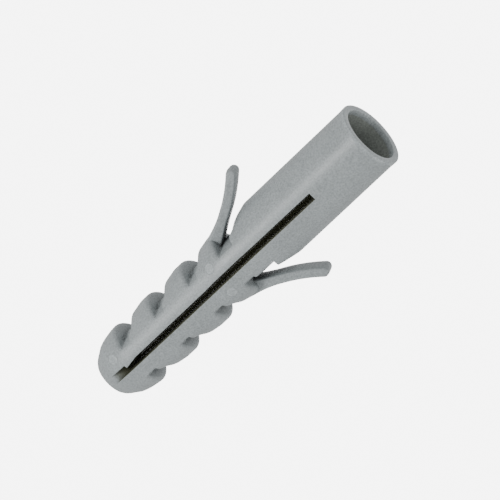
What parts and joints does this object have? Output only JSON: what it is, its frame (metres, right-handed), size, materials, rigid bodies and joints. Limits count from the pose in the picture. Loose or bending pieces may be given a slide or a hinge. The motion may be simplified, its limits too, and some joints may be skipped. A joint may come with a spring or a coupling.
{
  "type": "wall anchor",
  "caption": "Slotted nylon expansion plug with a round open collar, barbed legs, a closed nose and two side tongues; a screw spreads the legs in a drilled hole.",
  "frame": {"origin": "centre of the mouth face, on the axis of the screw hole", "axes": "+X along the axis out of the mouth and out of the wall, +Z towards one slit face, +Y towards the right half as the installer faces the wall"},
  "size_m": [0.05, 0.0192, 0.0094],
  "materials": {
    "nylon": "satin moulded grey nylon, fine grain"
  },
  "bodies": {
    "collar": {"collar": "nylon"},
    "right_shoulder": {"right_shoulder": "nylon"},
    "right_tongue_barb": {"right_tongue_barb": "nylon"},
    "right_third_barb": {"right_third_barb": "nylon"},
    "right_second_barb": {"right_second_barb": "nylon"},
    "right_nose": {"right_nose": "nylon", "tip_web": "nylon"},
    "right_tongue": {"right_tongue": "nylon"},
    "left_shoulder": {"left_shoulder": "nylon"},
    "left_tongue_barb": {"left_tongue_barb": "nylon"},
    "left_third_barb": {"left_third_barb": "nylon"},
    "left_second_barb": {"left_second_barb": "nylon"},
    "left_nose": {"left_nose": "nylon"},
    "left_tongue": {"left_tongue": "nylon"}
  },
  "joints": [
    {"name": "right_shoulder_bend", "type": "hinge", "parent": "collar", "child": "right_shoulder", "pos_m": [-0.0096, 0.0042, 0], "axis": [0, 0, -1], "range_deg": [-1.2, 7], "stiffness_Nm_per_rad": 0.05},
    {"name": "right_tongue_barb_bend", "type": "hinge", "parent": "right_shoulder", "child": "right_tongue_barb", "pos_m": [-0.0246, 0.002, 0], "axis": [0, 0, -1], "range_deg": [-7, 1.2]},
    {"name": "right_third_barb_bend", "type": "hinge", "parent": "right_tongue_barb", "child": "right_third_barb", "pos_m": [-0.0305, 0.002, 0], "axis": [0, 0, -1], "range_deg": [-7, 1.2]},
    {"name": "right_second_barb_bend", "type": "hinge", "parent": "right_third_barb", "child": "right_second_barb", "pos_m": [-0.0371, 0.002, 0], "axis": [0, 0, -1], "range_deg": [-2, 0.34]},
    {"name": "right_nose_bend", "type": "hinge", "parent": "right_second_barb", "child": "right_nose", "pos_m": [-0.0437, 0.002, 0], "axis": [0, 0, -1], "range_deg": [-1.54, 8.99]},
    {"name": "right_tongue_fold", "type": "hinge", "parent": "right_tongue_barb", "child": "right_tongue", "pos_m": [-0.0256, 0.00385, 0], "axis": [0, 0, -1], "range_deg": [-4, 5.5], "stiffness_Nm_per_rad": 0.01},
    {"name": "left_shoulder_bend", "type": "hinge", "parent": "collar", "child": "left_shoulder", "pos_m": [-0.0096, -0.0042, 0], "axis": [0, 0, 1], "range_deg": [-1.2, 7]},
    {"name": "left_tongue_barb_bend", "type": "hinge", "parent": "left_shoulder", "child": "left_tongue_barb", "pos_m": [-0.0246, -0.002, 0], "axis": [0, 0, 1], "range_deg": [-7, 1.2]},
    {"name": "left_third_barb_bend", "type": "hinge", "parent": "left_tongue_barb", "child": "left_third_barb", "pos_m": [-0.0305, -0.002, 0], "axis": [0, 0, 1], "range_deg": [-7, 1.2]},
    {"name": "left_second_barb_bend", "type": "hinge", "parent": "left_third_barb", "child": "left_second_barb", "pos_m": [-0.0371, -0.002, 0], "axis": [0, 0, 1], "range_deg": [-2, 0.34]},
    {"name": "left_nose_bend", "type": "hinge", "parent": "left_second_barb", "child": "left_nose", "pos_m": [-0.0437, -0.002, 0], "axis": [0, 0, 1], "range_deg": [-1.54, 8.99]},
    {"name": "left_tongue_fold", "type": "hinge", "parent": "left_tongue_barb", "child": "left_tongue", "pos_m": [-0.0264, -0.00385, 0], "axis": [0, 0, 1], "range_deg": [-4, 5.5], "stiffness_Nm_per_rad": 0.01}
  ],
  "couplings": [
    {"joint": "right_tongue_barb_bend", "follows": "right_shoulder_bend", "ratio": -1},
    {"joint": "right_third_barb_bend", "follows": "right_shoulder_bend", "ratio": -1},
    {"joint": "right_second_barb_bend", "follows": "right_shoulder_bend", "ratio": -0.285},
    {"joint": "right_nose_bend", "follows": "right_shoulder_bend", "ratio": 1.285},
    {"joint": "left_shoulder_bend", "follows": "right_shoulder_bend", "ratio": 1},
    {"joint": "left_tongue_barb_bend", "follows": "right_shoulder_bend", "ratio": -1},
    {"joint": "left_third_barb_bend", "follows": "right_shoulder_bend", "ratio": -1},
    {"joint": "left_second_barb_bend", "follows": "right_shoulder_bend", "ratio": -0.285},
    {"joint": "left_nose_bend", "follows": "right_shoulder_bend", "ratio": 1.285}
  ]
}
